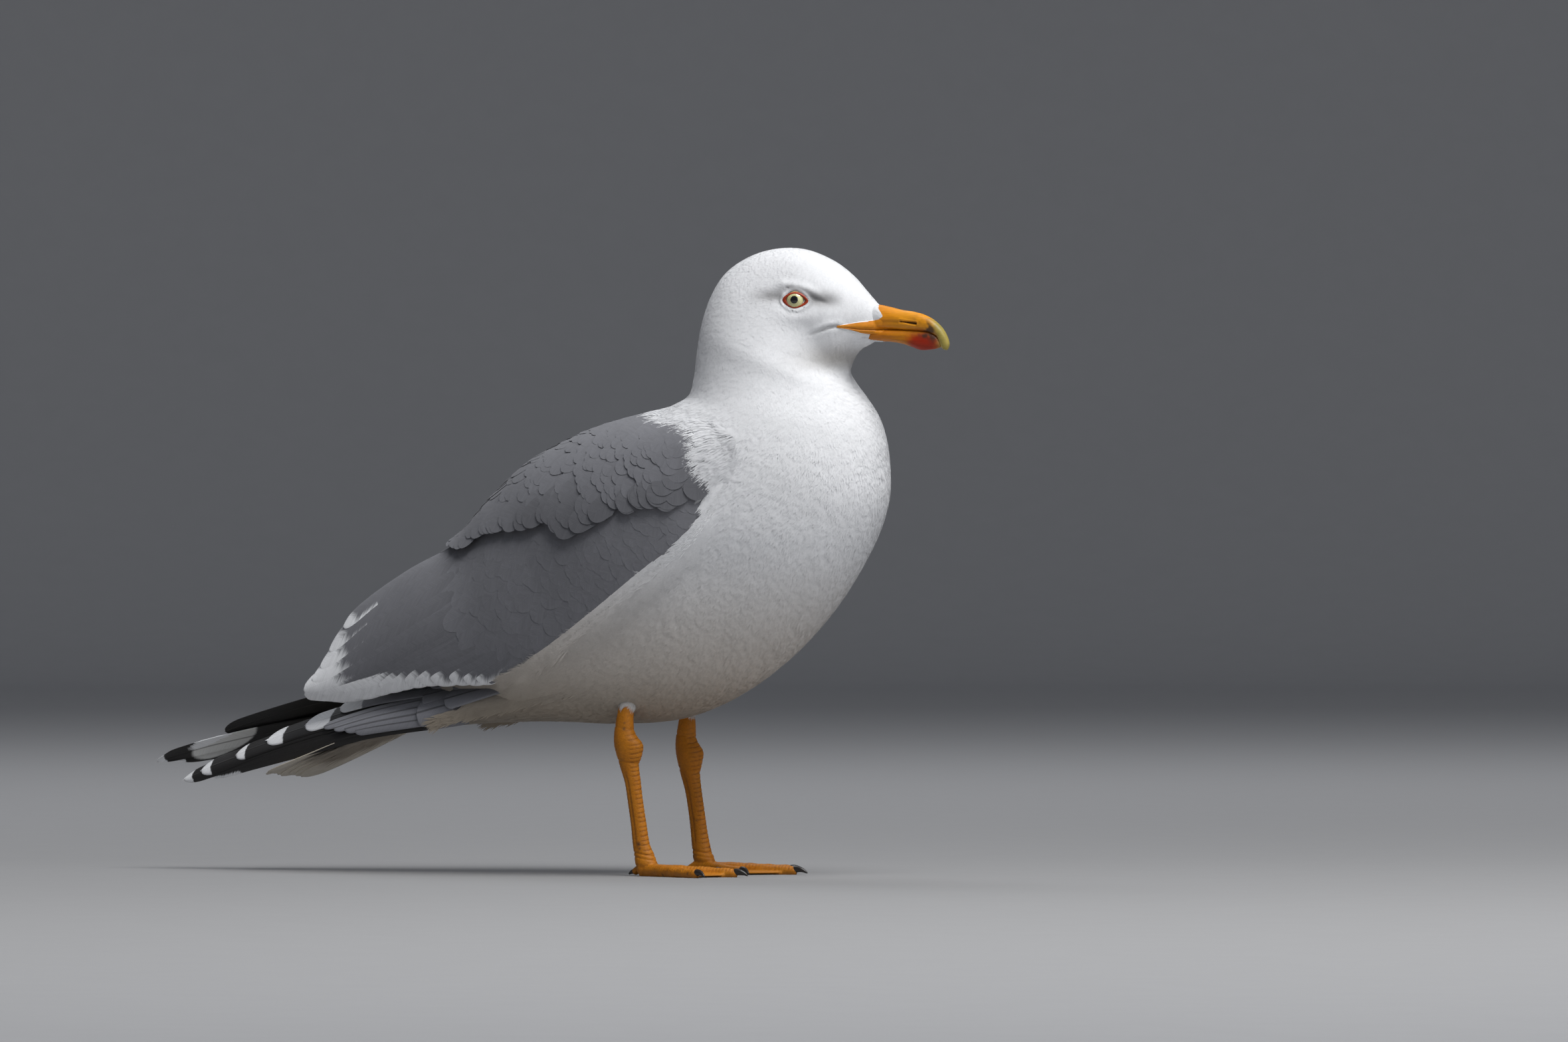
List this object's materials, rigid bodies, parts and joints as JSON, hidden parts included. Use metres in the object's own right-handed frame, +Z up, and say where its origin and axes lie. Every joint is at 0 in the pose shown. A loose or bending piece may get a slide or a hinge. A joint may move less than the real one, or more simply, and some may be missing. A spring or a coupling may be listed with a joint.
{
  "type": "yellow-legged gull model",
  "caption": "Life-size still model of an adult gull standing alert on both webbed feet, wings folded, head up, facing forward.",
  "frame": {"origin": "middle of the bounding box in plan, on the floor both feet stand on", "axes": "+X the way the bird faces, +Y its left side, +Z up"},
  "size_m": [0.5206, 0.1432, 0.375],
  "materials": {
    "plumage_white": "soft matte feathers",
    "plumage_grey": "soft matte feathers",
    "plumage_black": "satin feather vanes",
    "bill": "horn, satin",
    "eye": "wet, clear",
    "leg_skin": "scaly skin, satin",
    "claw_horn": "horn, satin"
  },
  "bodies": {
    "root": {"head": "plumage_white", "neck": "plumage_white", "trunk": "plumage_white", "tail": "plumage_white", "wing_right": "plumage_grey", "wing_left": "plumage_grey", "primaries_right": "plumage_black", "primaries_left": "plumage_black", "bill_upper": "bill", "bill_lower": "bill", "eye_right": "eye", "eye_left": "eye", "tibia_right": "leg_skin", "tarsus_right": "leg_skin", "foot_right": "leg_skin", "claw_inner_right": "claw_horn", "claw_middle_right": "claw_horn", "claw_outer_right": "claw_horn", "claw_hind_right": "claw_horn", "tibia_left": "leg_skin", "tarsus_left": "leg_skin", "foot_left": "leg_skin", "claw_inner_left": "claw_horn", "claw_middle_left": "claw_horn", "claw_outer_left": "claw_horn", "claw_hind_left": "claw_horn"}
  },
  "joints": []
}
